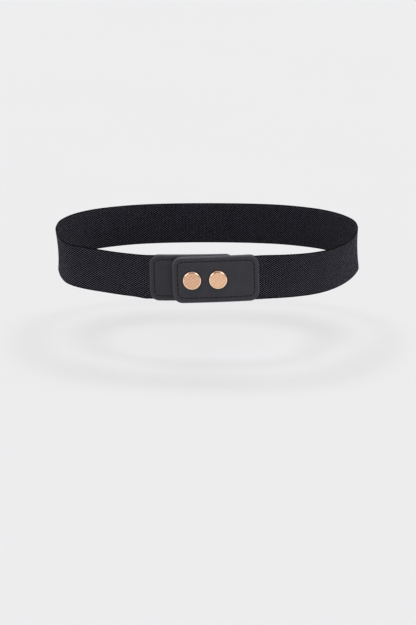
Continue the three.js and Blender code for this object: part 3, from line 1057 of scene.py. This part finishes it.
# The rows of a profile are (radius, out from the under tab's mid-surface, fillet).
def makeSnap(side, place):
    postEnd = socketWeb + post["intoWeb"]
    faceEdge = capFace - cap["dome"]
    capRows = [
        (0, postEnd, 0),
        (post["radius"], postEnd, 0.1),
        (post["radius"], capSeat, 0),
        (cap["radius"] - edge, capSeat, 0.1),
        (cap["radius"], capSeat + edge, 0.3),
    ]
    startSlope, endSlope = math.radians(capEdge["startSlope"]), math.radians(capEdge["endSlope"])
    bend = (cap["radius"] - cap["innerRadius"]) / (math.sin(endSlope) - math.sin(startSlope))
    for step in range(capEdge["steps"] + 1):
        slope = endSlope + (startSlope - endSlope) * step / capEdge["steps"]
        radius = cap["innerRadius"] + bend * (math.sin(slope) - math.sin(startSlope))
        capRows.append((radius, faceEdge - bend * (math.cos(startSlope) - math.cos(slope)), 0))
    faceRadius = cap["innerRadius"] - capGroove["width"]
    capRows.append(((cap["innerRadius"] + faceRadius) / 2, faceEdge - capGroove["depth"], 0.06))
    for step in range(cap["domeSteps"] + 1):
        share = step / cap["domeSteps"]  # of the way in to the middle
        capRows.append((faceRadius * (1 - share), faceEdge + cap["dome"] * (1 - (1 - share) ** 2), 0))
    makeTurned(
        "Cap",
        side,
        place,
        capRows,
        [metals[side], metals["rim"], metals["edge"]],
        faceRadius=cap["innerRadius"] - capGroove["width"] * capGroove["polished"],
        edgeBelow=capSeat + cap["height"] / 2,
    )
    socketRows = [
        (socket["cupRadius"], socketFace, 0.2),
        (socket["radius"], socketFace, edge),
        (socket["radius"], socketBack, edge),
        (post["hole"], socketBack, 0.1),
        (post["hole"], socketWeb, 0.1),
        (socket["cupRadius"], socketWeb, 0.1),
    ]
    plain = [metals["hidden"]]
    makeTurned("Socket", side, place, socketRows, plain, closed=True)
    studRows = [
        (0, eyeletEnd + seatGap, 0),
        (post["hole"], eyeletEnd + seatGap, 0.1),
        (post["hole"], studSeat, 0),
        (stud["radius"], studSeat, 0.12),
        (stud["radius"], studFace, edge),
        (stud["neckRadius"], studFace, 0.15),
        (stud["headRadius"], studHead - edge, 0.2),
        (stud["headRadius"] - edge, studHead, 0.25),
        (0, studHead, 0),
    ]
    makeTurned("Stud", side, place, studRows, plain)
    headFace = underBack - eyelet["head"]
    eyeletRows = [
        (0, headFace + eyelet["hollow"], 0),
        (eyelet["hollowRadius"], headFace + eyelet["hollow"], 0.3),
        (eyelet["hollowRadius"] + eyelet["hollowSlope"], headFace, 0.25),
        (eyelet["radius"], headFace, 0.45),
        (eyelet["radius"], underBack, 0.1),
        (post["radius"], underBack, 0),
        (post["radius"], eyeletEnd, 0.1),
        (0, eyeletEnd, 0),
    ]
    makeTurned("Eyelet", side, place, eyeletRows, plain)


for side, snapPlace in zip(("Left", "Right"), snapPlaces):
    makeSnap(side, snapPlace)
print("snap fasteners turned")


# Floor, light and camera

studio = {
    "floorRadius": 9000.0,
    "floorBelow": 60.0,  # the belt is worn, so it hangs clear of the floor
    "floorGrey": 0.20,
    "floorTints": ((1.0, 1.0, 1.02), (1.01, 1.01, 1.03)),
    "floorPatch": 400.0,
    "floorGlow": 0.36,  # light paper, lit from below as well, which keeps it even
    "worldLow": (0.50, 0.50, 0.505),
    "worldHigh": (0.26, 0.26, 0.265),
    "worldAhead": (0.32, 0.2, 0.15),  # warmer straight ahead and high up
    "riseRange": (-0.02, 0.45),  # height over which low turns to high
    "aheadMiddle": 0.08,  # how far left of the middle the warm patch is
    "aheadWidth": (0.12, 0.36),
    "aheadFront": (-0.1, -0.3),
    "worldStrength": 1.0,
    "horizon": (0.84, 0.84, 0.848),  # what shows past the floor's end
}


def makeFloor():
    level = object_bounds()[0].z * perMetre - studio["floorBelow"]
    sides = 64
    radius = studio["floorRadius"]
    turns = [2 * math.pi * k / sides for k in range(sides)]
    points = [(radius * math.cos(a), radius * math.sin(a), level) for a in turns]
    shaderValues = {
        "Roughness": 0.9,
        "Specular IOR Level": 0.1,
        "Emission Color": (1, 1, 1, 1),
        "Emission Strength": studio["floorGlow"],
    }
    material, tree = newMaterial("palePaper", shaderValues)
    patches = patchesAt(tree, objectPlace(tree), studio["floorPatch"])
    pale = [(*[studio["floorGrey"] * tone for tone in tint], 1) for tint in studio["floorTints"]]
    tree.links.new(mixColour(tree, patches, *pale), tree.nodes["Principled BSDF"].inputs["Base Color"])
    floor = makePiece("studioFloor", points, [tuple(range(sides))], [material], None)


def makeWorld():
    world = bpy.data.worlds.new("studioWorld")
    bpy.context.scene.world = world
    world.use_nodes = True
    tree = world.node_tree
    background = tree.nodes["Background"]
    direction = addNode(tree, "ShaderNodeTexCoord").outputs["Generated"]
    split = splitUp(tree, direction)
    share = remap(tree, split["Z"], *studio["riseRange"])
    sky = mixColour(tree, share, (*studio["worldLow"], 1), (*studio["worldHigh"], 1))
    aside = calculate(tree, "ABSOLUTE", calculate(tree, "ADD", split["X"], studio["aheadMiddle"]))
    ahead = remap(tree, aside, *studio["aheadWidth"], 1.0, 0.0)
    front = remap(tree, split["Y"], *studio["aheadFront"])
    ahead = multiply(tree, multiply(tree, ahead, front), share)
    sky = mixColour(tree, ahead, sky, (*studio["worldAhead"], 1))
    seen = addNode(tree, "ShaderNodeLightPath").outputs["Is Camera Ray"]
    sky = mixColour(tree, seen, sky, (*studio["horizon"], 1))
    tree.links.new(sky, background.inputs["Color"])
    background.inputs["Strength"].default_value = studio["worldStrength"]


# Large far lamps: name, degrees to the right of the front, degrees up, how wide each looks,
# strength and colour.
lamps = [
    ("keyLeft", -44, 24, 32, 0.36, (0.93, 1.0, 1.1)),
    ("fillRight", 36, 34, 32, 0.42, (0.93, 1.0, 1.1)),
    ("overhead", 0, 96, 60, 5.6, (1.0, 1.0, 1.0)),
    ("behindLeft", -102, 20, 30, 0.8, (1.0, 1.0, 1.0)),
    ("behindRight", 102, 20, 30, 1.35, (1.0, 1.0, 1.0)),
]


def makeLights():
    for name, turn, rise, width, strength, colour in lamps:
        light = bpy.data.lights.new(name, "SUN")
        light.angle = math.radians(width)
        light.energy = strength
        light.color = colour
        lamp = bpy.data.objects.new(name, light)
        turn, rise = math.radians(turn), math.radians(rise)
        level = math.cos(rise)
        lamp.location = (math.sin(turn) * level, -math.cos(turn) * level, math.sin(rise))
        lamp.rotation_euler = (-lamp.location).to_track_quat("-Z", "Y").to_euler()
        bpy.context.collection.objects.link(lamp)


# The photograph's view: from 15.5 degrees above the closure, with a long lens.
view = {
    "distance": 1500.0,
    "elevation": 15.5,
    "pitch": 16.588,
    "frontY": -97.0,
    "lens": 105.58,
    "sensor": 36.0,
}


def makeCamera():
    data = bpy.data.cameras.new("photoCamera")
    data.sensor_width = view["sensor"]  # spans the frame's long side
    data.lens = view["lens"]
    data.clip_start, data.clip_end = 0.05, 50.0
    camera = bpy.data.objects.new("photoCamera", data)
    rise = math.radians(view["elevation"])
    back = view["frontY"] - view["distance"] * math.cos(rise)
    camera.location = Vector((0, back, view["distance"] * math.sin(rise))) / perMetre
    camera.rotation_euler = (math.radians(90 - view["pitch"]), 0, 0)
    bpy.context.collection.objects.link(camera)
    bpy.context.scene.camera = camera


makeFloor()
makeWorld()
makeLights()
makeCamera()
bpy.context.scene.view_settings.view_transform = "Standard"
print("floor, light and camera set")
